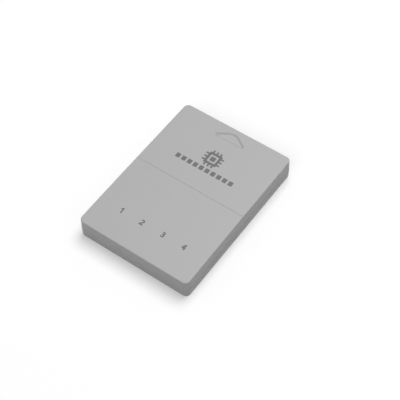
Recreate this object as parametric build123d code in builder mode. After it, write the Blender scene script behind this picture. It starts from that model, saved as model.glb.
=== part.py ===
"""A console memory card: a two-shell moulded case round a circuit board with eight contacts.

Millimetres. The origin is the middle of the underside. +Y points to the end that goes into the
console, -Y to the end that is held, and +Z is up through the printed face.
"""

import os
from math import atan2, degrees

from build123d import *

os.makedirs("parts", exist_ok=True)

# Case outline
card_width = 43.2
card_length = 60.0
corner_radius = 2.0
edge_radius = 0.35
draft_angle = 1.5
softening_angle = 45.0
side_wall = 1.5
tool_radius = 0.4

# Heights, stacked up from the underside
floor_thickness = 1.2
parting_height = 3.6
board_thickness = 1.0
headroom = 2.0
roof_thickness = 1.4

# Joint between the shells
parting_chamfer = 0.2
lip_height = 0.8
lip_thickness = 0.6
lip_clearance = 0.1

# Top face, with insets measured from the insertion end
line_inset = 28.75
line_width = 0.2
line_depth = 0.1
grip_fall = 0.3
arrow_inset = 1.4
arrow_width = 14.6
arrow_height = 4.6
arrow_depth = 0.45
arrow_wall_run = 0.58
arrow_tip_radius = 4.0
arrow_floor_corner = 0.08
arrow_softening = 0.1

# Connector bays and contacts
contact_counts = (3, 2, 3)
contact_pitch = 3.9
contact_width = 2.4
contact_thickness = 0.1
contact_corner = 0.25
contact_edge_gap = 0.5
contact_back_gap = 0.25
bay_depth = 8.0
bay_wall = 1.2
bay_softening = 0.25
rib_thickness = 1.2
rib_setback = 0.8
rib_recess = 0.3

# Board and what holds it
board_clearance = 0.25
board_corner = 1.0
ledge_length = 4.0
ledge_depth = 1.6
peg_diameter = 1.4
peg_clearance = 0.1
peg_rise = 0.8
peg_inset = 3.2

# Screws, with the front one measured from the insertion end and the rear one from the grip end
front_screw_inset = 12.6
rear_screw_inset = 5.4
shank_diameter = 2.0
screw_length = 4.8
screw_tip = 0.8
head_diameter = 3.6
head_height = 1.3
head_recess = 0.2
head_chamfer = 0.4
head_clearance = 0.3
shank_clearance = 0.15
thread_allowance = 0.02
cross_span = 2.0
cross_width = 0.5
cross_depth = 0.7
bore_softening = 0.15
boss_wall = 1.0
pilot_spare = 0.4

# Lamps, their windows and their resistors
lamp_count = 4
lamp_pitch = 8.3
lamp_row_inset = 11.0
lamp_size = (2.0, 1.25, 0.3)
lens_size = (1.2, 1.0, 0.5)
lens_corner = 0.2
window_size = 3.2
window_skin = 0.6
lamp_resistor_gap = 4.5

# Chips: body length, width and height
controller_body = (7.0, 7.0, 1.3)
controller_lead_count = 8
controller_lead_pitch = 0.8
memory_body = (5.2, 5.3, 1.4)
memory_lead_count = 4
memory_lead_pitch = 1.27
chip_spacing = 18.0
chip_standoff = 0.1
chip_chamfer = 0.25
dimple_diameter = 0.8
dimple_inset = 1.1
dimple_depth = 0.1
lead_width = 0.38
lead_thickness = 0.16
lead_shoulder = 0.3
lead_run = 0.25
lead_foot = 0.5

# Small soldered parts: length, width and height
resistor_size = (1.6, 0.8, 0.45)
bypass_size = (2.0, 1.25, 0.85)
end_cap_length = 0.35
end_cap_rise = 0.04
bypass_gap = 2.6
resonator_size = (3.2, 2.5, 0.5)
resonator_lid = (2.6, 1.9, 0.25)
resonator_corner = 0.3
reservoir_size = (3.2, 1.6, 1.4)
reservoir_draft = 4.0
reservoir_tab = (0.6, 1.2, 0.12)
reservoir_offset = 6.2

# Worked out from the values above
board_seat = parting_height
board_top = board_seat + board_thickness
roof_underside = board_top + headroom
card_thickness = roof_underside + roof_thickness
nose_y = card_length / 2
grip_y = -card_length / 2
line_y = nose_y - line_inset
arrow_tip_y = nose_y - arrow_inset
arrow_foot_y = arrow_tip_y - arrow_height
arrow_foot_radius = arrow_floor_corner + arrow_wall_run
arrow_wall_draft = degrees(atan2(arrow_wall_run, arrow_depth))
bay_back_y = nose_y - bay_depth
rib_root_y = bay_back_y - bay_wall / 2
rib_nose_y = nose_y - rib_setback - rib_thickness / 2

cavity_width = card_width - 2 * side_wall
cavity_length = card_length - 2 * side_wall
cavity_corner = max(corner_radius - side_wall, tool_radius)
lip_corner = cavity_corner + lip_thickness
groove_thickness = lip_thickness + lip_clearance
groove_corner = cavity_corner + groove_thickness

board_width = cavity_width - 2 * board_clearance
board_length = cavity_length - 2 * board_clearance
mouth_width = sum(contact_counts) * contact_pitch + (len(contact_counts) - 1) * rib_thickness
contact_front_y = board_length / 2 - contact_edge_gap
contact_back_y = bay_back_y + contact_back_gap

head_seat = head_recess + head_height
head_bore = head_diameter + 2 * head_clearance
shank_bore = shank_diameter + 2 * shank_clearance
pilot_bore = shank_diameter + 2 * thread_allowance
lower_boss = head_bore + 2 * boss_wall
upper_boss = pilot_bore + 2 * boss_wall
screw_tip_z = head_seat + screw_length
screw_rows = (nose_y - front_screw_inset, grip_y + rear_screw_inset)

lamp_row_y = grip_y + lamp_row_inset
lamp_columns = [(index - (lamp_count - 1) / 2) * lamp_pitch for index in range(lamp_count)]
logic_row_y = (screw_rows[0] + lamp_row_y) / 2
chip_columns = (-chip_spacing / 2, chip_spacing / 2)
peg_spots = [(side * (board_width / 2 - peg_inset), screw_rows[1]) for side in (-1, 1)]
clamp_spots = [
    (side * (cavity_width - ledge_depth) / 2, row)
    for side in (-1, 1)
    for row in (screw_rows[0], logic_row_y, screw_rows[1])
]

# The contacts and ribs follow each other across the mouth, bay by bay
contact_columns = []
rib_columns = []
bay_left = -mouth_width / 2
for count in contact_counts:
    contact_columns += [bay_left + (index + 0.5) * contact_pitch for index in range(count)]
    bay_left += count * contact_pitch + rib_thickness
    rib_columns.append(bay_left - rib_thickness / 2)
rib_columns.pop()


# Bottom shell: floor, walls, connector mouth with its ribs, and the seats of the board
with BuildPart() as bottom_shell:
    with BuildSketch(Plane.XY.offset(parting_height)):
        RectangleRounded(card_width, card_length, corner_radius)
    extrude(amount=-parting_height, taper=draft_angle)
    fillet(bottom_shell.faces().sort_by(Axis.Z)[0].edges(), edge_radius)
    chamfer(bottom_shell.faces().sort_by(Axis.Z)[-1].edges(), parting_chamfer)
    with BuildSketch(Plane.XY.offset(floor_thickness)):
        RectangleRounded(cavity_width, cavity_length, cavity_corner)
    extrude(amount=parting_height - floor_thickness, mode=Mode.SUBTRACT)

    # Lip that stands in the top shell's groove, left out across the mouth
    with BuildSketch(Plane.XY.offset(parting_height)):
        RectangleRounded(cavity_width + 2 * lip_thickness, cavity_length + 2 * lip_thickness, lip_corner)
        RectangleRounded(cavity_width, cavity_length, cavity_corner, mode=Mode.SUBTRACT)
        with Locations((0, nose_y)):
            Rectangle(mouth_width + 2 * bay_wall, 2 * bay_depth, mode=Mode.SUBTRACT)
    extrude(amount=lip_height)

    # Solid block at the insertion end, from which the mouth is cut
    with BuildSketch(Plane.XY.offset(floor_thickness)):
        with Locations((0, bay_back_y - bay_wall)):
            Rectangle(
                mouth_width + 2 * bay_wall,
                cavity_length / 2 - bay_back_y + bay_wall,
                align=(Align.CENTER, Align.MIN),
            )
    extrude(amount=board_seat - floor_thickness)
    with BuildSketch() as mouth:
        with Locations((0, nose_y)):
            Rectangle(mouth_width, 2 * bay_depth)
        fillet(mouth.vertices().group_by(Axis.Y)[0], tool_radius)
    extrude(amount=parting_height, mode=Mode.SUBTRACT)
    mouth_edges = bottom_shell.faces().sort_by(Axis.Z)[0].edges()
    mouth_edges = mouth_edges.filter_by(lambda edge: edge.center().Y > bay_back_y - tool_radius)
    mouth_edges = mouth_edges.filter_by(lambda edge: abs(edge.center().X) < mouth_width / 2 + tool_radius)
    chamfer(mouth_edges, bay_softening)

    # Ribs between the bays, with round noses, rooted in the wall behind them
    with BuildSketch(Plane.XY.offset(rib_recess)):
        with Locations([(column, rib_root_y) for column in rib_columns]):
            Rectangle(rib_thickness, rib_nose_y - rib_root_y, align=(Align.CENTER, Align.MIN))
        with Locations([(column, rib_nose_y) for column in rib_columns]):
            Circle(rib_thickness / 2)
    extrude(amount=board_seat - rib_recess)

    # Ledges, pegs and screw bosses that carry the board
    with BuildSketch(Plane.XY.offset(floor_thickness)):
        with Locations(clamp_spots):
            Rectangle(ledge_depth, ledge_length)
        with Locations([(0, row) for row in screw_rows]):
            Circle(lower_boss / 2)
        with Locations(peg_spots):
            Circle(peg_diameter)
    extrude(amount=board_seat - floor_thickness)
    with BuildSketch(Plane.XY.offset(board_seat)):
        with Locations(peg_spots):
            Circle(peg_diameter / 2)
    extrude(amount=board_thickness + peg_rise)
    with BuildSketch():
        with Locations([(0, row) for row in screw_rows]):
            Circle(head_bore / 2)
    extrude(amount=head_seat, mode=Mode.SUBTRACT)
    with BuildSketch():
        with Locations([(0, row) for row in screw_rows]):
            Circle(head_bore / 2 + bore_softening)
    extrude(amount=bore_softening, taper=softening_angle, mode=Mode.SUBTRACT)
    with BuildSketch(Plane.XY.offset(head_seat)):
        with Locations([(0, row) for row in screw_rows]):
            Circle(shank_bore / 2)
    extrude(amount=board_seat - head_seat, mode=Mode.SUBTRACT)
bottom_shell.part.label = "bottom_shell"
export_step(bottom_shell.part, "parts/bottom_shell.step")


# Top shell: printed face with its arrow and line, and the bosses and pads that clamp the board
with BuildPart() as top_shell:
    with BuildSketch(Plane.XY.offset(parting_height)):
        RectangleRounded(card_width, card_length, corner_radius)
    extrude(amount=card_thickness - parting_height + edge_radius, taper=draft_angle)

    # The face is flat up to the line and falls gently from there to the grip end
    with BuildSketch(Plane.YZ):
        with BuildLine():
            fall = TangentArc(
                (line_y, card_thickness), (grip_y, card_thickness - grip_fall), tangent=(-1, 0)
            )
            Polyline(
                fall @ 1,
                (grip_y, parting_height),
                (nose_y, parting_height),
                (nose_y, card_thickness),
                fall @ 0,
            )
        make_face()
    extrude(amount=card_width, both=True, mode=Mode.INTERSECT)
    face_edges = top_shell.faces().sort_by(Axis.Z)[-2:].edges()
    fillet(face_edges.filter_by(lambda edge: abs(edge.center().Y - line_y) > line_width), edge_radius)
    chamfer(top_shell.faces().sort_by(Axis.Z)[0].edges(), parting_chamfer)

    # Fine line across the face, a V that is as wide as it is named where it meets the surface
    with BuildSketch(Plane.YZ):
        with BuildLine():
            Polyline(
                (line_y - line_width, card_thickness + line_depth),
                (line_y + line_width, card_thickness + line_depth),
                (line_y, card_thickness - line_depth),
                close=True,
            )
        make_face()
    extrude(amount=card_width, both=True, mode=Mode.SUBTRACT)

    # Sunk arrow that points to the insertion end, with a wide sloping wall
    with BuildSketch(Plane.XY.offset(card_thickness)) as arrow:
        with BuildLine():
            Polyline(
                (-arrow_width / 2, arrow_foot_y),
                (arrow_width / 2, arrow_foot_y),
                (0, arrow_tip_y),
                close=True,
            )
        make_face()
        fillet(arrow.vertices().group_by(Axis.Y)[-1], arrow_tip_radius)
        fillet(arrow.vertices().group_by(Axis.Y)[0], arrow_foot_radius)
    extrude(amount=-arrow_depth, taper=arrow_wall_draft, mode=Mode.SUBTRACT)
    arrow_floor = top_shell.faces().filter_by(Axis.Z).group_by(Axis.Z)[-2]
    fillet(arrow_floor.edges(), arrow_softening)

    # Cavity, and the groove that takes the bottom shell's lip
    with BuildSketch(Plane.XY.offset(parting_height)):
        RectangleRounded(cavity_width, cavity_length, cavity_corner)
    extrude(amount=roof_underside - parting_height, mode=Mode.SUBTRACT)
    with BuildSketch(Plane.XY.offset(parting_height)):
        RectangleRounded(
            cavity_width + 2 * groove_thickness, cavity_length + 2 * groove_thickness, groove_corner
        )
        with Locations((0, nose_y)):
            Rectangle(mouth_width + 2 * bay_wall - 2 * lip_clearance, 2 * bay_depth, mode=Mode.SUBTRACT)
    extrude(amount=lip_height + lip_clearance, mode=Mode.SUBTRACT)

    # Pads and screw bosses that press the board down, and the thinned windows over the lamps
    with BuildSketch(Plane.XY.offset(board_top)):
        with Locations(clamp_spots):
            Rectangle(ledge_depth, ledge_length)
        with Locations([(0, row) for row in screw_rows]):
            Circle(upper_boss / 2)
    extrude(amount=headroom)
    with BuildSketch(Plane.XY.offset(board_top)):
        with Locations([(0, row) for row in screw_rows]):
            Circle(pilot_bore / 2)
    extrude(amount=screw_tip_z + pilot_spare - board_top, mode=Mode.SUBTRACT)
    with BuildSketch(Plane.XY.offset(roof_underside)):
        with Locations([(column, lamp_row_y) for column in lamp_columns]):
            Rectangle(window_size, window_size)
    extrude(amount=roof_thickness - window_skin, mode=Mode.SUBTRACT)
top_shell.part.label = "top_shell"
export_step(top_shell.part, "parts/top_shell.step")


# Circuit board, with holes for the screws and the pegs
with BuildPart() as circuit_board:
    with BuildSketch(Plane.XY.offset(board_seat)) as board_outline:
        Rectangle(board_width, board_length)
        chamfer(board_outline.vertices(), board_corner)
        with Locations([(0, row) for row in screw_rows]):
            Circle(shank_bore / 2, mode=Mode.SUBTRACT)
        with Locations(peg_spots):
            Circle(peg_diameter / 2 + peg_clearance, mode=Mode.SUBTRACT)
    extrude(amount=board_thickness)
circuit_board.part.label = "circuit_board"
export_step(circuit_board.part, "parts/circuit_board.step")


# Contacts, plated under the board's front edge
for number, column in enumerate(contact_columns, start=1):
    with BuildPart() as contact:
        with BuildSketch(Plane.XY.offset(board_seat)) as finger:
            with Locations((column, (contact_front_y + contact_back_y) / 2)):
                Rectangle(contact_width, contact_front_y - contact_back_y)
            chamfer(finger.vertices(), contact_corner)
        extrude(amount=-contact_thickness)
    contact.part.label = f"contact_{number}"
    export_step(contact.part, f"parts/contact_{number}.step")


def make_chip(name, centre, body, lead_sides, lead_count, lead_pitch):
    """Make a moulded chip with gull-wing leads and a dimple in one corner, on the board's upper face.

    centre is the chip's place on the board, body its length, width and height, and lead_sides the
    headings, in degrees from +X, of the sides that carry leads.
    """
    length, width, height = body
    dimple_spot = (centre[0] - length / 2 + dimple_inset, centre[1] + width / 2 - dimple_inset)
    exit_height = board_top + chip_standoff + height / 2
    foot_top = board_top + lead_thickness
    lead_offsets = [(index - (lead_count - 1) / 2) * lead_pitch for index in range(lead_count)]
    with BuildPart() as chip:
        with BuildSketch(Plane.XY.offset(board_top + chip_standoff)):
            with Locations(centre):
                Rectangle(length, width)
        extrude(amount=height)
        chamfer(chip.faces().sort_by(Axis.Z)[-1].edges(), chip_chamfer)
        with BuildSketch(Plane.XY.offset(board_top + chip_standoff + height)):
            with Locations(dimple_spot):
                Circle(dimple_diameter / 2)
        extrude(amount=-dimple_depth, mode=Mode.SUBTRACT)
        for heading in lead_sides:
            outward = Vector(1, 0, 0).rotate(Axis.Z, heading)
            side = Plane(origin=(*centre, 0), x_dir=outward, z_dir=outward.cross(Vector(0, 0, 1)))
            body_edge = length / 2 if heading % 180 == 0 else width / 2
            knee = body_edge + lead_shoulder
            heel = knee + lead_run
            toe = heel + lead_foot
            with BuildSketch(*[side.offset(offset) for offset in lead_offsets]):
                with BuildLine():
                    Polyline(
                        (body_edge - lead_shoulder, exit_height),
                        (knee, exit_height),
                        (heel, foot_top),
                        (toe, foot_top),
                        (toe, board_top),
                        (heel - lead_thickness, board_top),
                        (knee - lead_thickness, exit_height - lead_thickness),
                        (body_edge - lead_shoulder, exit_height - lead_thickness),
                        close=True,
                    )
                make_face()
            extrude(amount=lead_width / 2, both=True)
    chip.part.label = name
    export_step(chip.part, f"parts/{name}.step")


make_chip(
    "controller_chip",
    (chip_columns[0], logic_row_y),
    controller_body,
    (0, 90, 180, 270),
    controller_lead_count,
    controller_lead_pitch,
)
make_chip(
    "memory_chip",
    (chip_columns[1], logic_row_y),
    memory_body,
    (0, 180),
    memory_lead_count,
    memory_lead_pitch,
)


def make_capped_chip(name, centre, size, heading):
    """Make a small soldered part with a metal cap over each end.

    size is its length, width and height, and heading the way its length points, in degrees from +X.
    """
    length, width, height = size
    lengthways = Vector(1, 0, 0).rotate(Axis.Z, heading)
    seat = Plane(origin=(*centre, board_top), x_dir=lengthways, z_dir=(0, 0, 1))
    with BuildPart() as capped_chip:
        with BuildSketch(seat.offset(end_cap_rise)):
            Rectangle(length - end_cap_length, width - 2 * end_cap_rise)
        extrude(amount=height - 2 * end_cap_rise)
        with BuildSketch(seat):
            with Locations(((end_cap_length - length) / 2, 0), ((length - end_cap_length) / 2, 0)):
                Rectangle(end_cap_length, width)
        extrude(amount=height)
    capped_chip.part.label = name
    export_step(capped_chip.part, f"parts/{name}.step")


# Bypass capacitors behind the chips, pull-ups behind the outer contacts, a resistor for each lamp
bypass_row_y = logic_row_y + controller_body[1] / 2 + bypass_gap
for number, column in enumerate(chip_columns, start=1):
    make_capped_chip(f"bypass_capacitor_{number}", (column, bypass_row_y), bypass_size, 0)
for number, column in enumerate((contact_columns[0], contact_columns[-1]), start=1):
    make_capped_chip(f"line_resistor_{number}", (column, screw_rows[0]), resistor_size, 90)
for number, column in enumerate(lamp_columns, start=1):
    resistor_spot = (column, lamp_row_y + lamp_resistor_gap)
    make_capped_chip(f"lamp_resistor_{number}", resistor_spot, resistor_size, 90)


# Page lamps under the windows, each a base with a lens on it
for number, column in enumerate(lamp_columns, start=1):
    with BuildPart() as lamp:
        with BuildSketch(Plane.XY.offset(board_top)):
            with Locations((column, lamp_row_y)):
                Rectangle(lamp_size[0], lamp_size[1])
        extrude(amount=lamp_size[2])
        with BuildSketch(Plane.XY.offset(board_top + lamp_size[2])) as lens:
            with Locations((column, lamp_row_y)):
                Rectangle(lens_size[0], lens_size[1])
            chamfer(lens.vertices(), lens_corner)
        extrude(amount=lens_size[2])
    lamp.part.label = f"lamp_{number}"
    export_step(lamp.part, f"parts/lamp_{number}.step")


# Resonator between the chips: a ceramic tray under a metal lid
with BuildPart() as resonator:
    with BuildSketch(Plane.XY.offset(board_top)):
        with Locations((0, logic_row_y)):
            Rectangle(resonator_size[0], resonator_size[1])
    extrude(amount=resonator_size[2])
    with BuildSketch(Plane.XY.offset(board_top + resonator_size[2])) as lid:
        with Locations((0, logic_row_y)):
            Rectangle(resonator_lid[0], resonator_lid[1])
        chamfer(lid.vertices(), resonator_corner)
    extrude(amount=resonator_lid[2])
resonator.part.label = "resonator"
export_step(resonator.part, "parts/resonator.step")


# Reservoir capacitor beside the front screw: a moulded block on two folded tabs
with BuildPart() as reservoir_capacitor:
    with BuildSketch(Plane.XY.offset(board_top + reservoir_tab[2])):
        with Locations((reservoir_offset, screw_rows[0])):
            Rectangle(reservoir_size[1], reservoir_size[0])
    extrude(amount=reservoir_size[2] - reservoir_tab[2], taper=reservoir_draft)
    with BuildSketch(Plane.XY.offset(board_top)):
        for end in (-1, 1):
            tab_middle = screw_rows[0] + end * (reservoir_size[0] - reservoir_tab[0]) / 2
            with Locations((reservoir_offset, tab_middle)):
                Rectangle(reservoir_tab[1], reservoir_tab[0])
    extrude(amount=reservoir_tab[2])
reservoir_capacitor.part.label = "reservoir_capacitor"
export_step(reservoir_capacitor.part, "parts/reservoir_capacitor.step")


# Case screws: cross-headed, up through the floor and the board into the top shell's bosses
with BuildPart() as case_screws:
    for row in screw_rows:
        with BuildSketch(Plane(origin=(0, row, 0), x_dir=(1, 0, 0), z_dir=(0, -1, 0))) as half:
            with BuildLine():
                Polyline(
                    (0, head_recess),
                    (head_diameter / 2, head_recess),
                    (head_diameter / 2, head_seat),
                    (shank_diameter / 2, head_seat),
                    (shank_diameter / 2, screw_tip_z - screw_tip),
                    (0, screw_tip_z),
                    close=True,
                )
            make_face()
            chamfer(half.vertices().group_by(Axis.Y)[0].sort_by(Axis.X)[-1], head_chamfer)
        revolve(axis=Axis((0, row, 0), (0, 0, 1)))
    with BuildSketch(Plane.XY.offset(head_recess)):
        with Locations([(0, row) for row in screw_rows]):
            Rectangle(cross_span, cross_width)
            Rectangle(cross_width, cross_span)
    extrude(amount=cross_depth, mode=Mode.SUBTRACT)
case_screws.part.label = "case_screws"
export_step(case_screws.part, "parts/case_screws.step")
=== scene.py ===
"""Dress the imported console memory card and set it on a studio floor.

Metres, apart from sizes that say millimetres. The origin is the middle of the card's underside, +Y
points to the end that goes into the console and +Z up through the printed face. The solids come from
the frame. This script gives each of them its finish, adds the print, the plating tails of the contacts
and the threaded screws, and then lights and frames the card.
"""

import logging
import math
from collections.abc import Callable, Iterable
from dataclasses import dataclass, field, replace
from enum import Enum
from functools import cache

import bmesh
import bpy
from mathutils import Matrix, Quaternion, Vector
from mathutils.bvhtree import BVHTree


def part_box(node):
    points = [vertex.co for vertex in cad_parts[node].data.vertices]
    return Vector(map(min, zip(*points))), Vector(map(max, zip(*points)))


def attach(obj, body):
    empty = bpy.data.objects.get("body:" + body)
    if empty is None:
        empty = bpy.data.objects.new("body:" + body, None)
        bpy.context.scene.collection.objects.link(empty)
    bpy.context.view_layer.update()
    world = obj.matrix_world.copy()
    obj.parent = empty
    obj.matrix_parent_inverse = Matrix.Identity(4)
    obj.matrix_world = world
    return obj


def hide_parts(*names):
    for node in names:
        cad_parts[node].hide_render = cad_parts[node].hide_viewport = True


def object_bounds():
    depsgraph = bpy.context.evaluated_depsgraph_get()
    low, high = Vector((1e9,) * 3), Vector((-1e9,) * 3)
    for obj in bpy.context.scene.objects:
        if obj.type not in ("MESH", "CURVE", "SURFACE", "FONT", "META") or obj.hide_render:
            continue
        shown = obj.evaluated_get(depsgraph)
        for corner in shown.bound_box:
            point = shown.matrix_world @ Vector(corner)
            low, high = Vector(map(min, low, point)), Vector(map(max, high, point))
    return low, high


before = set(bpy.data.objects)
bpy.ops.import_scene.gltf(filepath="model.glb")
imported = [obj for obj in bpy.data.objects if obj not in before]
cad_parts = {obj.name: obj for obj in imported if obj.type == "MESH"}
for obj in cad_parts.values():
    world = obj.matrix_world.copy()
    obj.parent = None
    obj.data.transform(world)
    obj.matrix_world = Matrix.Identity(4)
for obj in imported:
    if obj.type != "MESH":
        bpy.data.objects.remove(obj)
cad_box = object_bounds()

MM = 0.001
BODY = "root"
# The length over which a wave texture of scale 1 repeats
WAVE_LENGTH = math.tau / 20
# The share of a plate's thickness within which its points are joined
WELD_SHARE = 0.05

Color = tuple[float, float, float]
Triple = tuple[float, float, float]
Point = tuple[float, float]
Outline = list[Point]
Feeds = dict[str | int, object]

log = logging.getLogger("memory_card")


class SocketKind(Enum):
    """What a node group's socket carries."""

    VALUE = "NodeSocketFloat"
    COLOR = "NodeSocketColor"
    VECTOR = "NodeSocketVector"


class Blend(Enum):
    """What a Mix node blends: its data type, and the numbers of its two inputs and its output."""

    VALUE = ("FLOAT", 2, 3, 0)
    COLOR = ("RGBA", 6, 7, 2)


class NodeSheet:
    """Writes nodes into a shader tree, with inputs that are set or linked by name."""

    def __init__(self, tree: bpy.types.NodeTree) -> None:
        """Start on a tree with nothing in it."""
        self.tree = tree
        tree.nodes.clear()

    def feed(self, socket: bpy.types.NodeSocket, value: object) -> None:
        """Set a socket to a value, or link it from another socket.

        Args:
            socket: The socket that takes it.
            value: The value, or the socket that it comes from.
        """
        if isinstance(value, bpy.types.NodeSocket):
            self.tree.links.new(value, socket)
        else:
            socket.default_value = value

    def add(self, kind: str, inputs: Feeds | None = None, **settings: object) -> bpy.types.Node:
        """Add one node.

        Args:
            kind: The node's type, without the leading ShaderNode.
            inputs: For each input, by name or number, its value or the socket that it is linked from.
            settings: Properties of the node.

        Returns:
            The new node.
        """
        node = self.tree.nodes.new(f"ShaderNode{kind}")
        for name, value in settings.items():
            setattr(node, name, value)
        for key, value in (inputs or {}).items():
            self.feed(node.inputs[key], value)
        return node

    def math(self, operation: str, *values: object) -> bpy.types.NodeSocket:
        """Return the values joined by one Math operation."""
        return self.add("Math", dict(enumerate(values)), operation=operation).outputs[0]

    def vector(self, operation: str, *values: object) -> bpy.types.NodeSocket:
        """Return the vectors joined by one Vector Math operation."""
        return self.add("VectorMath", dict(enumerate(values)), operation=operation).outputs[0]

    def signed(self, noise: bpy.types.Node) -> bpy.types.NodeSocket:
        """Return a noise of 0 to 1 as one of -1 to 1."""
        return self.math("MULTIPLY_ADD", noise.outputs["Fac"], 2.0, -1.0)

    def toned(self, color: object, gain: object) -> bpy.types.NodeSocket:
        """Return a colour made lighter or darker by a gain."""
        return self.add("VectorMath", {0: color, "Scale": gain}, operation="SCALE").outputs[0]

    def mix(self, share: object, first: object, second: object, blend: Blend) -> bpy.types.NodeSocket:
        """Return a blend of two values or colours, all second where share is 1."""
        kind, inlet_1, inlet_2, outlet = blend.value
        return self.add("Mix", {0: share, inlet_1: first, inlet_2: second}, data_type=kind).outputs[outlet]


def open_group(
    name: str, inputs: dict[str, SocketKind], outputs: dict[str, SocketKind]
) -> tuple[NodeSheet, bpy.types.NodeOutputs, bpy.types.NodeInputs]:
    """Open a new shader node group.

    Args:
        name: The group's name.
        inputs: The kind of each input socket, by name.
        outputs: The kind of each output socket, by name.

    Returns:
        The sheet of its nodes, the sockets that the inputs arrive at, and those that the outputs leave by.
    """
    tree = bpy.data.node_groups.new(name, "ShaderNodeTree")
    for in_out, sockets in (("INPUT", inputs), ("OUTPUT", outputs)):
        for socket, kind in sockets.items():
            tree.interface.new_socket(socket, in_out=in_out, socket_type=kind.value)
    sheet = NodeSheet(tree)
    return sheet, tree.nodes.new("NodeGroupInput").outputs, tree.nodes.new("NodeGroupOutput").inputs


def open_material(name: str) -> tuple[bpy.types.Material, NodeSheet]:
    """Open a new material.

    Args:
        name: The material's name.

    Returns:
        The material, and the sheet of its nodes.
    """
    material = bpy.data.materials.new(name)
    material.use_nodes = True
    return material, NodeSheet(material.node_tree)


@cache
def surface_life() -> bpy.types.NodeTree:
    """Build the group that keeps a surface from being one flat value.

    Returns:
        A group whose colour and roughness drift slowly over the surface, whose colour has fine specks,
        and whose height is the grain of the surface.
    """
    sheet, arrivals, exits = open_group(
        "surface_life",
        {
            "Color": SocketKind.COLOR,
            "Drift Size": SocketKind.VALUE,
            "Drift": SocketKind.VALUE,
            "Grain Size": SocketKind.VALUE,
            "Grain Stretch": SocketKind.VECTOR,
            "Specks": SocketKind.VALUE,
            "Roughness": SocketKind.VALUE,
            "Roughness Drift": SocketKind.VALUE,
        },
        {"Color": SocketKind.COLOR, "Roughness": SocketKind.VALUE, "Height": SocketKind.VALUE},
    )
    place = sheet.add("TexCoord").outputs["Object"]
    drift_scale = sheet.math("DIVIDE", 1.0, arrivals["Drift Size"])
    drift = sheet.add("TexNoise", {"Vector": place, "Scale": drift_scale, "Detail": 2.0})
    grain_scale = sheet.math("DIVIDE", 1.0, arrivals["Grain Size"])
    drawn_out = sheet.vector("MULTIPLY", place, arrivals["Grain Stretch"])
    grain = sheet.add("TexNoise", {"Vector": drawn_out, "Scale": grain_scale, "Detail": 3.0})
    slow = sheet.signed(drift)
    fine = sheet.signed(grain)
    gain = sheet.math("MULTIPLY_ADD", slow, arrivals["Drift"], 1.0)
    gain = sheet.math("MULTIPLY_ADD", fine, arrivals["Specks"], gain)
    color = sheet.toned(arrivals["Color"], gain)
    rough = sheet.math("MULTIPLY_ADD", slow, arrivals["Roughness Drift"], arrivals["Roughness"])
    sheet.feed(exits["Color"], color)
    sheet.feed(exits["Roughness"], rough)
    sheet.feed(exits["Height"], grain.outputs["Fac"])
    return sheet.tree


@cache
def outer_zone() -> bpy.types.NodeTree:
    """Build the group that tells the ends, leads or lid of a small part from its body.

    Returns:
        A group whose mask is 1 outside a box, given in shares of the part's own size.
    """
    sheet, arrivals, exits = open_group(
        "outer_zone",
        {"Middle": SocketKind.VECTOR, "Reach": SocketKind.VECTOR},
        {"Mask": SocketKind.VALUE},
    )
    place = sheet.add("TexCoord").outputs["Generated"]
    offset = sheet.vector("ABSOLUTE", sheet.vector("SUBTRACT", place, arrivals["Middle"]))
    excess = sheet.add("SeparateXYZ", {0: sheet.vector("SUBTRACT", offset, arrivals["Reach"])}).outputs
    widest = sheet.math("MAXIMUM", sheet.math("MAXIMUM", excess["X"], excess["Y"]), excess["Z"])
    sheet.feed(exits["Mask"], sheet.math("GREATER_THAN", widest, 0.0))
    return sheet.tree


@dataclass(frozen=True)
class Finish:
    """A surface of one stuff, with the grain and the slow drift that the real one has."""

    name: str
    color: Color
    roughness: float
    metallic: float = 0.0
    coat: float = 0.0
    drift_size: float = 14.0 * MM
    drift: float = 0.015
    grain_size: float = 0.14 * MM
    grain_stretch: Triple = (1.0, 1.0, 1.0)
    grain_depth: float = 0.004 * MM
    specks: float = 0.02
    roughness_drift: float = 0.04

    def start(self) -> tuple[bpy.types.Material, NodeSheet, bpy.types.Node]:
        """Start the material.

        Returns:
            The material, its sheet, and its shader with the even values set on its own sockets.
        """
        material, sheet = open_material(self.name)
        shader = sheet.add("BsdfPrincipled", {"Metallic": self.metallic, "Coat Weight": self.coat})
        sheet.add("OutputMaterial", {"Surface": shader.outputs["BSDF"]})
        return material, sheet, shader

    def life(self, sheet: NodeSheet) -> bpy.types.NodeOutputs:
        """Place the shared drift and grain in a sheet, with this finish's values.

        Args:
            sheet: The sheet of the material.

        Returns:
            The sockets of the group: colour, roughness and the height of the grain.
        """
        values = {
            "Color": (*self.color, 1.0),
            "Drift Size": self.drift_size,
            "Drift": self.drift,
            "Grain Size": self.grain_size,
            "Grain Stretch": self.grain_stretch,
            "Specks": self.specks,
            "Roughness": self.roughness,
            "Roughness Drift": self.roughness_drift,
        }
        return sheet.add("Group", values, node_tree=surface_life()).outputs

    def wire(
        self,
        sheet: NodeSheet,
        shader: bpy.types.Node,
        color: bpy.types.NodeSocket,
        rough: bpy.types.NodeSocket,
        height: bpy.types.NodeSocket,
    ) -> None:
        """Feed the shader with colour, roughness and a bump of the finish's own depth.

        Args:
            sheet: The sheet of the material.
            shader: Its shader.
            color: The socket of the colour.
            rough: The socket of the roughness.
            height: The socket of the bump's height.
        """
        bump = sheet.add("Bump", {"Height": height, "Distance": self.grain_depth})
        sheet.feed(shader.inputs["Base Color"], color)
        sheet.feed(shader.inputs["Roughness"], rough)
        sheet.feed(shader.inputs["Normal"], bump.outputs["Normal"])

    def material(self) -> bpy.types.Material:
        """Make the material.

        Returns:
            A material with the drift and the grain of this finish.
        """
        material, sheet, shader = self.start()
        life = self.life(sheet)
        self.wire(sheet, shader, life["Color"], life["Roughness"], life["Height"])
        return material


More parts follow.
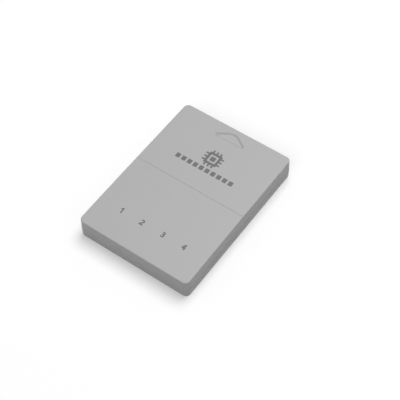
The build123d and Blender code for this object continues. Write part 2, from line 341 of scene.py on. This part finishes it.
@dataclass(frozen=True)
class CappedFinish(Finish):
    """A small part whose body is of one stuff and whose ends, leads or lid are of another."""

    cap: Finish = field(kw_only=True)
    middle: Triple = (0.5, 0.5, 0.5)
    reach: Triple = (1.0, 1.0, 1.0)

    def fitted(self, node: str, core: Triple, lift: float = 0.0) -> "CappedFinish":
        """Fit the finish to a part.

        Args:
            node: The part's node.
            core: The size of its body in millimetres.
            lift: How far the body's underside is above the node's lowest point, in millimetres.

        Returns:
            The same finish, with the body's place as shares of the node's own size.
        """
        low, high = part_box(node)
        spans = [span / MM for span in high - low]
        # Rounded, so that like parts share one material
        reach = tuple(round(side / span / 2, 3) for side, span in zip(core, spans))
        return replace(self, middle=(0.5, 0.5, round((lift + core[2] / 2) / spans[2], 3)), reach=reach)

    def material(self) -> bpy.types.Material:
        """Make the material.

        Returns:
            A material that is the cap's outside the body's box.
        """
        material, sheet, shader = self.start()
        zone = {"Middle": self.middle, "Reach": self.reach}
        mask = sheet.add("Group", zone, node_tree=outer_zone()).outputs["Mask"]
        body, cap = self.life(sheet), self.cap.life(sheet)
        color = sheet.mix(mask, body["Color"], cap["Color"], Blend.COLOR)
        rough = sheet.mix(mask, body["Roughness"], cap["Roughness"], Blend.VALUE)
        self.wire(sheet, shader, color, rough, body["Height"])
        if self.cap.metallic:
            sheet.feed(shader.inputs["Metallic"], mask)
        return material


@dataclass(frozen=True)
class LaminateFinish(Finish):
    """Solder mask over glass cloth, whose weave shows as low bumps."""

    weave_pitch: float = 0.55 * MM
    weave_tone: float = 0.12

    def material(self) -> bpy.types.Material:
        """Make the material.

        Returns:
            A material whose tone and bump follow the weave.
        """
        material, sheet, shader = self.start()
        life = self.life(sheet)
        place = sheet.add("TexCoord").outputs["Object"]
        scale = WAVE_LENGTH / self.weave_pitch
        warp, weft = (
            sheet.add("TexWave", {"Vector": place, "Scale": scale}, bands_direction=axis).outputs["Fac"]
            for axis in "XY"
        )
        weave = sheet.math("MULTIPLY", warp, weft)
        gain = sheet.math("MULTIPLY_ADD", weave, self.weave_tone, 1.0)
        color = sheet.toned(life["Color"], gain)
        self.wire(sheet, shader, color, life["Roughness"], weave)
        return material


CASE_PLASTIC = Finish("case_plastic", (0.43, 0.43, 0.432), 0.42, grain_depth=0.008 * MM)
PRINT_INK = Finish("print_ink", (0.12, 0.12, 0.123), 0.4, drift=0.04, specks=0.06)
SOLDER_MASK = LaminateFinish("solder_mask", (0.012, 0.11, 0.045), 0.32, coat=0.2, drift=0.08)
GOLD_PLATE = Finish(
    "gold_plate", (0.86, 0.6, 0.24), 0.24, metallic=1.0, drift=0.05, grain_stretch=(1.0, 0.04, 1.0)
)
SCREW_STEEL = Finish("screw_steel", (0.5, 0.5, 0.49), 0.3, metallic=1.0, drift=0.06)
TIN_PLATE = Finish("tin_plate", (0.7, 0.7, 0.68), 0.32, metallic=1.0, drift=0.06)
LAMP_LENS = Finish("lamp_lens", (0.72, 0.62, 0.4), 0.15)
CHIP_EPOXY = CappedFinish("chip_epoxy", (0.018, 0.018, 0.019), 0.55, specks=0.15, cap=TIN_PLATE)
RESISTOR_CERAMIC = CappedFinish("resistor_ceramic", (0.02, 0.02, 0.022), 0.35, cap=TIN_PLATE)
CAPACITOR_CERAMIC = CappedFinish("capacitor_ceramic", (0.36, 0.25, 0.15), 0.4, cap=TIN_PLATE)
RESERVOIR_RESIN = CappedFinish("reservoir_resin", (0.58, 0.33, 0.05), 0.42, cap=TIN_PLATE)
RESONATOR_METAL = CappedFinish("resonator_metal", (0.62, 0.58, 0.5), 0.5, cap=TIN_PLATE)
LAMP_RESIN = CappedFinish("lamp_resin", (0.75, 0.74, 0.7), 0.4, cap=LAMP_LENS)


@cache
def shared_material(finish: Finish) -> bpy.types.Material:
    """Return a finish's material, made once."""
    return finish.material()


def place_object(name: str, data: bpy.types.ID) -> bpy.types.Object:
    """Put a new object in the scene.

    Args:
        name: The object's name.
        data: Its mesh, curve, lamp or camera.

    Returns:
        The object.
    """
    holder = bpy.data.objects.new(name, data)
    bpy.context.scene.collection.objects.link(holder)
    return holder


def link_piece(name: str, mesh: bpy.types.Mesh, finish: Finish) -> bpy.types.Object:
    """Put a finished mesh in the scene as a piece of the card.

    Args:
        name: The piece's name.
        mesh: Its mesh, in place.
        finish: Its finish.

    Returns:
        The piece.
    """
    mesh.materials.clear()
    mesh.materials.append(shared_material(finish))
    piece = place_object(name, mesh)
    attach(piece, BODY)
    log.info("built %s with %d faces", name, len(mesh.polygons))
    return piece


def numbered(stem: str, count: int) -> list[str]:
    """Return the names of like nodes, which differ only in their number, from 1 up."""
    return [f"{stem}_{number}" for number in range(1, count + 1)]


def dress_node(name: str, finish: Finish) -> None:
    """Give a solid of the frame its finish.

    Args:
        name: The solid's node.
        finish: Its finish.
    """
    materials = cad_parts[name].data.materials
    materials.clear()
    materials.append(shared_material(finish))
    log.info("dressed %s in %s", name, finish.name)


def arc(middle: Point, radius: float, start: float, end: float, steps: int = 16) -> Outline:
    """Return points along an arc.

    Args:
        middle: The arc's middle.
        radius: Its radius.
        start: Where it starts, in degrees from +X.
        end: Where it ends, in degrees from +X.
        steps: Points on it, less one.

    Returns:
        Its points, from start to end.
    """
    points = []
    for step in range(steps + 1):
        angle = math.radians(start + (end - start) * step / steps)
        points.append((middle[0] + radius * math.cos(angle), middle[1] + radius * math.sin(angle)))
    return points


def rounded_box(middle: Point, size: Point, radius: float, steps: int = 6) -> Outline:
    """Return the outline of a rectangle with round corners.

    Args:
        middle: The rectangle's middle.
        size: Its width and height.
        radius: The radius of its corners.
        steps: Points on each corner, less one.

    Returns:
        Its points, anticlockwise.
    """
    points = []
    for quarter, (side_x, side_y) in enumerate(((1, 1), (-1, 1), (-1, -1), (1, -1))):
        corner_x = middle[0] + side_x * (size[0] / 2 - radius)
        corner_y = middle[1] + side_y * (size[1] / 2 - radius)
        points += arc((corner_x, corner_y), radius, 90 * quarter, 90 * (quarter + 1), steps)
    return points


def quarter_turns(side: Outline) -> Outline:
    """Repeat one side of a shape round the origin.

    Args:
        side: The points of the side.

    Returns:
        The points of all four sides, anticlockwise.
    """
    turns = ((1, 0), (0, 1), (-1, 0), (0, -1))
    return [(x * along - y * across, x * across + y * along) for along, across in turns for x, y in side]


def toothed_square(
    middle: Point, side: float, corner: float, teeth: int, tooth: Point, pitch: float
) -> Outline:
    """Return the outline of a square with a row of teeth on each side.

    Args:
        middle: The square's middle.
        side: The length of its sides.
        corner: How much is cut off each corner.
        teeth: The number of teeth on a side.
        tooth: The width and the length of a tooth.
        pitch: The distance from one tooth to the next.

    Returns:
        Its points, anticlockwise.
    """
    half, (width, length) = side / 2, tooth
    edge = [(half, corner - half)]
    for index in range(teeth):
        offset = (index - (teeth - 1) / 2) * pitch
        edge += [(half, offset - width / 2), (half + length, offset - width / 2)]
        edge += [(half + length, offset + width / 2), (half, offset + width / 2)]
    edge.append((half, half - corner))
    return [(middle[0] + x, middle[1] + y) for x, y in quarter_turns(edge)]


def ring_faces(rings: int, count: int) -> list[tuple[int, ...]]:
    """Join rings of points into a skin.

    Args:
        rings: The number of rings, whose points follow each other in the mesh.
        count: The number of points on each ring.

    Returns:
        The faces between the rings.
    """
    faces = []
    for start in range(0, (rings - 1) * count, count):
        for index in range(count):
            low, following = start + index, start + (index + 1) % count
            faces.append((low, following, following + count, low + count))
    return faces


def evaluated_mesh(holder: bpy.types.Object) -> bpy.types.Mesh:
    """Turn an object into a mesh as it is shown, and remove the object.

    Args:
        holder: The object.

    Returns:
        The mesh, with the object's modifiers or its curve worked out.
    """
    mesh = bpy.data.meshes.new_from_object(holder.evaluated_get(bpy.context.evaluated_depsgraph_get()))
    bpy.data.objects.remove(holder)
    return mesh


def closed_mesh(mesh: bpy.types.Mesh, gap: float) -> bpy.types.Mesh:
    """Close the seams of a mesh and turn all its faces outward.

    Args:
        mesh: The mesh, which is changed in place.
        gap: How far apart vertices may lie that are joined.

    Returns:
        The same mesh.
    """
    work = bmesh.new()
    work.from_mesh(mesh)
    bmesh.ops.remove_doubles(work, verts=work.verts, dist=gap)
    bmesh.ops.recalc_face_normals(work, faces=work.faces)
    work.to_mesh(mesh)
    work.free()
    return mesh


def plate_mesh(name: str, outlines: Iterable[Outline], thickness: float) -> bpy.types.Mesh:
    """Make a thin plate from closed outlines, where an outline inside another is a hole.

    Args:
        name: The mesh's name.
        outlines: The outlines.
        thickness: The plate's thickness.

    Returns:
        The plate, in the outlines' own units, with its middle plane at height 0.
    """
    curve = bpy.data.curves.new(name, "CURVE")
    curve.dimensions = "2D"
    curve.fill_mode = "BOTH"
    curve.extrude = thickness / 2
    for outline in outlines:
        spline = curve.splines.new("POLY")
        spline.points.add(len(outline) - 1)
        for point, (x, y) in zip(spline.points, outline):
            point.co = (x, y, 0.0, 1.0)
        spline.use_cyclic_u = True
    return closed_mesh(evaluated_mesh(place_object(name, curve)), thickness * WELD_SHARE)


def carved_mesh(mesh: bpy.types.Mesh, cutter: bpy.types.Mesh) -> bpy.types.Mesh:
    """Cut one closed mesh out of another.

    Args:
        mesh: The mesh that is cut.
        cutter: The mesh that is cut out of it.

    Returns:
        A new mesh of what is left.
    """
    holder = place_object(mesh.name, mesh)
    tool = place_object(cutter.name, cutter)
    cut = holder.modifiers.new(cutter.name, "BOOLEAN")
    cut.operation = "DIFFERENCE"
    cut.solver = "EXACT"
    cut.object = tool
    carved = evaluated_mesh(holder)
    bpy.data.objects.remove(tool)
    return carved


@dataclass
class CaseShells:
    """The two halves of the case, moulded in one plastic."""

    nodes: tuple[str, ...] = ("top_shell", "bottom_shell")

    def dress(self) -> None:
        """Give both shells the moulded finish."""
        for node in self.nodes:
            dress_node(node, CASE_PLASTIC)

    def face(self) -> Callable[[float, float], float]:
        """Measure the top face.

        Returns:
            A function that gives the height of the face at a place on it.
        """
        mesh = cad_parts[self.nodes[0]].data
        tree = BVHTree.FromPolygons(
            [vertex.co for vertex in mesh.vertices], [polygon.vertices for polygon in mesh.polygons]
        )
        # The ray starts well above the face
        above = 2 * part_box(self.nodes[0])[1].z
        return lambda x, y: tree.ray_cast(Vector((x, y, above)), Vector((0.0, 0.0, -1.0)))[0].z


@dataclass
class PageNumerals:
    """Plain upright numerals with one even stroke, in shares of their height and in degrees."""

    stroke: float = 0.215
    flag: Point = (0.32, 0.16)
    bowl: float = 0.32
    bowl_start: float = 160.0
    bowl_end: float = -42.0
    heel: float = 0.1
    upper_bowl: float = 0.29
    lower_bowl: float = 0.32
    tongue: float = 0.15
    bar_height: float = 0.22
    bar_reach: float = 0.32
    stem: float = 0.22

    def one(self) -> list[Outline]:
        """Draw 1, a stem with a flag.

        Returns:
            Its outline.
        """
        half, (reach, drop) = self.stroke / 2, self.flag
        flag = [(-half, 1), (-reach, 1 - drop), (-reach, 1 - drop - self.stroke), (-half, 1 - self.stroke)]
        return [[(-half, 0), (half, 0), (half, 1), *flag]]

    def two(self) -> list[Outline]:
        """Draw 2, a bowl that runs down into a foot.

        Returns:
            Its outline.
        """
        middle = (0.0, 1 - self.bowl)
        outer = arc(middle, self.bowl, self.bowl_start, self.bowl_end)
        inner = arc(middle, self.bowl - self.stroke, self.bowl_end, self.bowl_start)
        foot = [(-self.heel, self.stroke), (self.bowl, self.stroke), (self.bowl, 0), (-self.bowl, 0)]
        return [[*outer, *foot, (-self.bowl, self.stroke), *inner]]

    def three(self) -> list[Outline]:
        """Draw 3, two bowls that meet in a tongue.

        Returns:
            Its outline.
        """
        upper, lower = (0.0, 1 - self.upper_bowl), (0.0, self.lower_bowl)
        upper_inside, lower_inside = self.upper_bowl - self.stroke, self.lower_bowl - self.stroke
        # The outer arcs meet where the circles of the two bowls cross
        apart = upper[1] - lower[1]
        drop = (apart**2 + self.upper_bowl**2 - self.lower_bowl**2) / (2 * apart)
        upper_end = -math.degrees(math.asin(drop / self.upper_bowl))
        lower_start = math.degrees(math.asin((apart - drop) / self.lower_bowl))
        outer = arc(upper, self.upper_bowl, self.bowl_start, upper_end)
        outer += arc(lower, self.lower_bowl, lower_start, -self.bowl_start)[1:]
        inner = arc(lower, lower_inside, -self.bowl_start, 90)
        inner += [(-self.tongue, lower[1] + lower_inside), (-self.tongue, upper[1] - upper_inside)]
        inner += arc(upper, upper_inside, -90, self.bowl_start)
        return [[*outer, *inner]]

    def four(self) -> list[Outline]:
        """Draw 4, a stem with a bar and a slant.

        Returns:
            Its outline, and that of the hole in it.
        """
        left, bar_top = self.stem - self.stroke, self.bar_height + self.stroke
        outer = [(left, 0), (self.stem, 0), (self.stem, self.bar_height), (self.bar_reach, self.bar_height)]
        outer += [(self.bar_reach, bar_top), (self.stem, bar_top), (self.stem, 1), (left, 1)]
        outer += [(-self.bar_reach, bar_top), (-self.bar_reach, self.bar_height), (left, self.bar_height)]
        # The hole's slant is the outer one, moved in by the stroke
        lean = (left + self.bar_reach) / (1 - bar_top)
        shift = self.stroke * math.hypot(1, lean)
        hole = [(left, bar_top), (left, 1 - shift / lean), (shift - self.bar_reach, bar_top)]
        return [outer, hole]

    def outlines(self, height: float) -> list[list[Outline]]:
        """Draw all four numerals at one height.

        Args:
            height: The height, in the unit that the outlines are wanted in.

        Returns:
            The outlines of each numeral, with its middle at the origin.
        """
        numerals = []
        for outlines in (self.one(), self.two(), self.three(), self.four()):
            columns = [x for x, _ in outlines[0]]
            middle = (min(columns) + max(columns)) / 2
            numerals.append(
                [[((x - middle) * height, (y - 0.5) * height) for x, y in outline] for outline in outlines]
            )
        return numerals


@dataclass
class FacePrint:
    """What is printed on the top face, in millimetres: page numerals, a chip mark and a row of blocks."""

    face: Callable[[float, float], float]
    ink_thickness: float = 0.02
    numeral_height: float = 2.2
    numeral_shift: float = 0.2
    mark_y: float = 14.8
    mark_body: float = 5.0
    mark_stroke: float = 0.95
    mark_core: float = 1.9
    mark_corner: float = 0.3
    pin_count: int = 3
    pin_size: Point = (0.62, 1.0)
    pin_pitch: float = 1.4
    row_y: float = 9.7
    block_count: int = 10
    block_size: Point = (1.6, 1.8)
    block_corner: float = 0.2
    block_pitch: float = 2.35

    def lay(self, name: str, plate: bpy.types.Mesh, place: Point = (0.0, 0.0)) -> None:
        """Lay a thin plate of ink on the face.

        Args:
            name: The piece's name.
            plate: The plate in millimetres, with its middle plane at height 0.
            place: How far it is moved over the face.
        """
        for vertex in plate.vertices:
            x, y = (vertex.co.x + place[0]) * MM, (vertex.co.y + place[1]) * MM
            rise = (vertex.co.z + self.ink_thickness / 2) * MM
            vertex.co = (x, y, self.face(x, y) + rise)
        link_piece(name, plate, PRINT_INK)

    def numerals(self) -> None:
        """Print a numeral over each page lamp."""
        for number, outlines in enumerate(PageNumerals().outlines(self.numeral_height), start=1):
            low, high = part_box(f"lamp_{number}")
            middle = (low + high) / 2 / MM
            name = f"page_numeral_{number}"
            plate = plate_mesh(name, outlines, self.ink_thickness)
            self.lay(name, plate, (middle.x + self.numeral_shift, middle.y))

    def chip_mark(self) -> None:
        """Print a plain chip: a square ring with a core inside and a row of pins on each side."""
        middle = (0.0, self.mark_y)
        hole = self.mark_body - 2 * self.mark_stroke
        outlines = [
            toothed_square(
                middle, self.mark_body, self.mark_corner, self.pin_count, self.pin_size, self.pin_pitch
            ),
            rounded_box(middle, (hole, hole), self.mark_corner),
            rounded_box(middle, (self.mark_core, self.mark_core), self.mark_corner),
        ]
        self.lay("chip_mark", plate_mesh("chip_mark", outlines, self.ink_thickness))

    def block_row(self) -> None:
        """Print a row of blocks under the chip mark."""
        outlines = []
        for index in range(self.block_count):
            column = (index - (self.block_count - 1) / 2) * self.block_pitch
            outlines.append(rounded_box((column, self.row_y), self.block_size, self.block_corner))
        self.lay("block_row", plate_mesh("block_row", outlines, self.ink_thickness))

    def build(self) -> None:
        """Print the whole face."""
        self.numerals()
        self.chip_mark()
        self.block_row()


@dataclass
class CircuitBoard:
    """The board, its contacts and what is soldered to it; sizes in millimetres."""

    contact_count: int = 8
    lamp_count: int = 4
    line_resistor_count: int = 2
    bypass_count: int = 2
    tail_width: float = 0.5
    tail_corner: float = 0.06
    tail_thickness: float = 0.035
    controller_body: Triple = (7.0, 7.0, 1.4)
    memory_body: Triple = (5.2, 5.3, 1.5)
    resistor_body: Triple = (0.8, 0.9, 0.45)
    bypass_body: Triple = (1.3, 1.25, 0.85)
    reservoir_body: Triple = (1.6, 3.2, 1.28)
    reservoir_lift: float = 0.12
    resonator_tray: Triple = (3.2, 2.5, 0.5)
    lamp_base: Triple = (2.0, 1.25, 0.3)

    def dress(self) -> None:
        """Give the board, the contacts and each soldered part its finish."""
        dress_node("circuit_board", SOLDER_MASK)
        for name in numbered("contact", self.contact_count):
            dress_node(name, GOLD_PLATE)
        resistors = numbered("line_resistor", self.line_resistor_count)
        resistors += numbered("lamp_resistor", self.lamp_count)
        soldered = (
            (["controller_chip"], CHIP_EPOXY, self.controller_body),
            (["memory_chip"], CHIP_EPOXY, self.memory_body),
            (["resonator"], RESONATOR_METAL, self.resonator_tray),
            (numbered("lamp", self.lamp_count), LAMP_RESIN, self.lamp_base),
            (numbered("bypass_capacitor", self.bypass_count), CAPACITOR_CERAMIC, self.bypass_body),
            (resistors, RESISTOR_CERAMIC, self.resistor_body),
        )
        for names, finish, body in soldered:
            for name in names:
                dress_node(name, finish.fitted(name, body))
        reservoir = RESERVOIR_RESIN.fitted("reservoir_capacitor", self.reservoir_body, self.reservoir_lift)
        dress_node("reservoir_capacitor", reservoir)

    def plating_tails(self) -> None:
        """Lay the short tails that lead from the contacts to the board's front edge."""
        board_low, board_high = (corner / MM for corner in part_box("circuit_board"))
        outlines = []
        for name in numbered("contact", self.contact_count):
            low, high = (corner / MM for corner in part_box(name))
            middle = ((low.x + high.x) / 2, (high.y + board_high.y) / 2)
            size = (self.tail_width, board_high.y - high.y)
            outlines.append(rounded_box(middle, size, self.tail_corner))
        tails = plate_mesh("plating_tails", outlines, self.tail_thickness)
        below = Vector((0.0, 0.0, board_low.z - self.tail_thickness / 2))
        tails.transform(Matrix.Scale(MM, 4) @ Matrix.Translation(below))
        link_piece("plating_tails", tails, GOLD_PLATE)


@dataclass
class CaseScrews:
    """The two screws of the case, in millimetres: crowned head, cross recess and coarse thread."""

    node: str = "case_screws"
    head_height: float = 1.3
    head_round: float = 0.45
    head_crown: float = 0.08
    head_break: float = 0.06
    neck_length: float = 0.35
    core_radius: float = 0.74
    thread_radius: float = 1.0
    thread_pitch: float = 0.8
    thread_hollow: float = 1.5
    tip_length: float = 0.8
    recess_depth: float = 0.85
    recess_mouth: Point = (1.0, 0.28)
    recess_foot: Point = (0.36, 0.2)
    segments: int = 48
    steps: int = 10
    sharp_angle: float = 32.0

    def profile(self, head_radius: float, length: float) -> list[Triple]:
        """Draw the rings of a screw, from its head's face to its tip.

        Args:
            head_radius: The head's radius.
            length: The length over all.

        Returns:
            For each ring its radius, its height and how far its thread stands out.
        """
        flat_radius = head_radius - self.head_round
        rings = []
        for step in range(1, self.steps + 1):
            share = step / self.steps
            rings.append((flat_radius * share, self.head_crown * share**2, 0.0))
        for step in range(1, self.steps + 1):
            angle = step / self.steps * math.pi / 2
            radius = flat_radius + self.head_round * math.sin(angle)
            rings.append((radius, self.head_crown + self.head_round * (1 - math.cos(angle)), 0.0))
        rings.append((head_radius, self.head_height - self.head_break, 0.0))
        rings.append((head_radius - self.head_break, self.head_height, 0.0))
        rings.append((self.core_radius, self.head_height, 0.0))
        depth = self.thread_radius - self.core_radius
        start = self.head_height + self.neck_length
        count = round((length - start) / self.thread_pitch * self.steps)
        for step in range(count):
            height = start + (length - start) * step / count
            slimming = min(1.0, (length - height) / self.tip_length)
            rise = min(1.0, (height - start) / self.thread_pitch)
            rings.append((self.core_radius * slimming, height, depth * slimming * rise))
        return rings

    def blank(self, head_radius: float, length: float) -> bpy.types.Mesh:
        """Make a screw without its recess, standing on its head at the origin.

        Args:
            head_radius: The head's radius.
            length: The length over all.

        Returns:
            A closed mesh.
        """
        rings = self.profile(head_radius, length)
        points: list[Triple] = []
        for radius, height, thread in rings:
            for segment in range(self.segments):
                turn = segment / self.segments
                phase = (height / self.thread_pitch - turn) % 1.0
                # The power hollows the flanks of the thread
                reach = radius + thread * (1 - abs(2 * phase - 1)) ** self.thread_hollow
                angle = turn * math.tau
                points.append((reach * math.cos(angle), reach * math.sin(angle), height))
        faces = ring_faces(len(rings), self.segments)
        head, tip = len(points), len(points) + 1
        points += [(0.0, 0.0, 0.0), (0.0, 0.0, length)]
        last = (len(rings) - 1) * self.segments
        for segment in range(self.segments):
            following = (segment + 1) % self.segments
            faces.append((head, following, segment))
            faces.append((tip, last + segment, last + following))
        mesh = bpy.data.meshes.new("screw_blank")
        mesh.from_pydata(points, [], faces)
        return mesh

    def recess_cutter(self) -> bpy.types.Mesh:
        """Make what the recess is cut with.

        Returns:
            A closed cross that narrows with its depth and reaches out through the head's face.
        """
        points: list[Triple] = []
        levels = ((self.recess_mouth, -self.head_crown), (self.recess_foot, self.recess_depth))
        for (span, width), height in levels:
            cross = quarter_turns([(span, -width), (span, width), (width, width)])
            points += [(x, y, height) for x, y in cross]
        mouth, foot = tuple(range(len(cross))), tuple(range(len(cross), len(points)))
        mesh = bpy.data.meshes.new("recess_cutter")
        mesh.from_pydata(points, [], [mouth[::-1], *ring_faces(len(levels), len(cross)), foot])
        return mesh

    def build(self) -> None:
        """Make both screws as one piece, in the place of the plain ones."""
        low, high = (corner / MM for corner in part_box(self.node))
        head_radius = (high.x - low.x) / 2
        screw = carved_mesh(self.blank(head_radius, high.z - low.z), self.recess_cutter())
        pair = bmesh.new()
        for row in (low.y + head_radius, high.y - head_radius):
            copy = screw.copy()
            copy.transform(Matrix.Translation((0.0, row, low.z)))
            pair.from_mesh(copy)
            bpy.data.meshes.remove(copy)
        pair.transform(Matrix.Scale(MM, 4))
        mesh = bpy.data.meshes.new("threaded_screws")
        pair.to_mesh(mesh)
        pair.free()
        mesh.shade_smooth()
        mesh.set_sharp_from_angle(angle=math.radians(self.sharp_angle))
        piece = link_piece("threaded_screws", mesh, SCREW_STEEL)
        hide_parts(self.node)


@dataclass(frozen=True)
class SoftLamp:
    """A large square lamp that faces the card, with its power in watts."""

    name: str
    place: Triple
    span: float
    power: float

    def build(self) -> None:
        """Hang the lamp."""
        lamp = bpy.data.lights.new(self.name, "AREA")
        lamp.shape = "SQUARE"
        lamp.size = self.span
        lamp.energy = self.power
        holder = place_object(self.name, lamp)
        holder.location = self.place
        holder.rotation_mode = "QUATERNION"
        holder.rotation_quaternion = Vector(self.place).to_track_quat("Z", "Y")


KEY_LAMP = SoftLamp("key_lamp", (0.0, 0.42, 1.05), 0.7, 7.1)
FILL_LAMP = SoftLamp("fill_lamp", (0.1, -0.84, 0.75), 0.6, 2.2)


@dataclass
class Studio:
    """A pale floor under soft light, against white."""

    # How many times as wide as the patch under the card the floor is
    floor_reach: float = 80.0
    floor_drop: float = 0.02 * MM
    patch_inset: float = 0.2 * MM
    patch_corner: float = 1.8 * MM
    floor_color: Color = (0.4, 0.4, 0.4)
    seen_color: Color = (0.9, 0.9, 0.9)
    seen_glow: float = 0.2
    # Painted shade: the floor under the card is darker than the open floor and gets no glow
    patch_painted_shade_color: Color = (0.6, 0.6, 0.6)
    sky_strength: float = 0.33
    under_strength: float = 0.7

    def floor(self) -> None:
        """Lay the floor, with a patch under the card that lets light up to its underside and is painted
        darker as shade.
        """
        low, high = cad_box
        size = tuple(high[axis] - low[axis] - 2 * self.patch_inset for axis in (0, 1))
        patch = rounded_box((0.0, 0.0), size, self.patch_corner)
        height = low[2] - self.floor_drop
        reaches = (self.floor_reach, 1.0)
        points = [(x * reach, y * reach, height) for reach in reaches for x, y in patch]
        faces = [*ring_faces(len(reaches), len(patch)), tuple(range(len(patch), len(points)))]
        mesh = bpy.data.meshes.new("studio_floor")
        mesh.from_pydata(points, [], faces)
        mesh.materials.append(self.floor_material())
        mesh.materials.append(self.patch_material())
        mesh.polygons[-1].material_index = 1
        place_object("studio_floor", mesh)

    def seen_directly(self, sheet: NodeSheet) -> bpy.types.NodeSocket:
        """Find the rays that show the backdrop: seen, mirrored or looked through.

        Args:
            sheet: The sheet of the floor or the sky.

        Returns:
            A mask that is 1 on those rays.
        """
        rays = sheet.add("LightPath").outputs
        mirrored = sheet.math("MAXIMUM", rays["Is Glossy Ray"], rays["Is Transmission Ray"])
        return sheet.math("MAXIMUM", rays["Is Camera Ray"], mirrored)

    def one_way_material(self, name: str) -> tuple[bpy.types.Material, NodeSheet, bpy.types.Node]:
        """Start a material of the floor.

        Args:
            name: The material's name.

        Returns:
            The material, its sheet, and a mix that is clear where its first input is 1.
        """
        material, sheet = open_material(name)
        clear = sheet.add("BsdfTransparent", {"Color": (1.0, 1.0, 1.0, 1.0)})
        mixed = sheet.add("MixShader", {2: clear.outputs[0]})
        sheet.add("OutputMaterial", {"Surface": mixed.outputs[0]})
        return material, sheet, mixed

    def floor_material(self) -> bpy.types.Material:
        """Make the floor's material.

        Returns:
            A matt material that is lifted to white where it is seen, and clear from below.
        """
        material, sheet, mixed = self.one_way_material("studio_floor")
        seen = self.seen_directly(sheet)
        color = sheet.mix(seen, (*self.floor_color, 1.0), (*self.seen_color, 1.0), Blend.COLOR)
        matt = sheet.add("BsdfDiffuse", {"Color": color})
        glow = sheet.add("Emission", {"Strength": sheet.math("MULTIPLY", seen, self.seen_glow)})
        lit = sheet.add("AddShader", {0: matt.outputs[0], 1: glow.outputs[0]})
        sheet.feed(mixed.inputs[0], sheet.add("NewGeometry").outputs["Backfacing"])
        sheet.feed(mixed.inputs[1], lit.outputs[0])
        return material

    def patch_material(self) -> bpy.types.Material:
        """Make the material of the floor under the card, painted darker than the open floor as shade.

        Returns:
            A matt material that only the camera finds, and only from above, so that light gets through
            to the card's underside.
        """
        material, sheet, mixed = self.one_way_material("studio_floor_patch_painted_shade")
        # Painted shade: a darker colour than the open floor, with no glow, for the floor under the card
        matt = sheet.add("BsdfDiffuse", {"Color": (*self.patch_painted_shade_color, 1.0)})
        unseen = sheet.math("SUBTRACT", 1.0, sheet.add("LightPath").outputs["Is Camera Ray"])
        from_below = sheet.add("NewGeometry").outputs["Backfacing"]
        sheet.feed(mixed.inputs[0], sheet.math("MAXIMUM", unseen, from_below))
        sheet.feed(mixed.inputs[1], matt.outputs[0])
        return material

    def sky(self) -> None:
        """Surround the card with even light, brighter from below, and show white behind it."""
        world = bpy.data.worlds.new("studio_sky")
        world.use_nodes = True
        sheet = NodeSheet(world.node_tree)
        heading = sheet.add("SeparateXYZ", {0: sheet.add("TexCoord").outputs["Generated"]})
        below = sheet.math("LESS_THAN", heading.outputs["Z"], 0.0)
        strength = sheet.mix(below, self.sky_strength, self.under_strength, Blend.VALUE)
        strength = sheet.mix(self.seen_directly(sheet), strength, 1.0, Blend.VALUE)
        sky = sheet.add("Background", {"Color": (1.0, 1.0, 1.0, 1.0), "Strength": strength})
        sheet.add("OutputWorld", {"Surface": sky.outputs[0]})
        bpy.context.scene.world = world

    def build(self) -> None:
        """Set up the floor, the sky and the lamps."""
        self.floor()
        self.sky()
        for lamp in (KEY_LAMP, FILL_LAMP):
            lamp.build()
        bpy.context.scene.view_settings.view_transform = "Standard"


@dataclass
class PhotoCamera:
    """The camera of the photograph: above the grip end, to the right.

    Its lens and sensor are in millimetres, and its roll is in degrees.
    """

    place: Triple = (132.35 * MM, -172.5 * MM, 302.8 * MM)
    aim: Triple = (6.16 * MM, -1.27 * MM, 8.0 * MM)
    roll: float = -1.2
    lens: float = 100.8
    sensor: float = 36.0
    clip_near: float = 0.01

    def build(self) -> None:
        """Place the camera and make it the scene's own."""
        camera = bpy.data.cameras.new("photo_camera")
        camera.lens = self.lens
        camera.sensor_width = self.sensor
        camera.clip_start = self.clip_near
        holder = place_object("photo_camera", camera)
        holder.location = self.place
        facing = (Vector(self.place) - Vector(self.aim)).to_track_quat("Z", "Y")
        holder.rotation_mode = "QUATERNION"
        holder.rotation_quaternion = facing @ Quaternion((0.0, 0.0, 1.0), math.radians(self.roll))
        bpy.context.scene.camera = holder


def main() -> None:
    """Dress the card, print its face, and set up the studio and the camera."""
    logging.basicConfig(level=logging.INFO, format="%(name)s: %(message)s")
    shells = CaseShells()
    shells.dress()
    FacePrint(shells.face()).build()
    board = CircuitBoard()
    board.dress()
    board.plating_tails()
    CaseScrews().build()
    Studio().build()
    PhotoCamera().build()


if __name__ == "__main__":
    main()
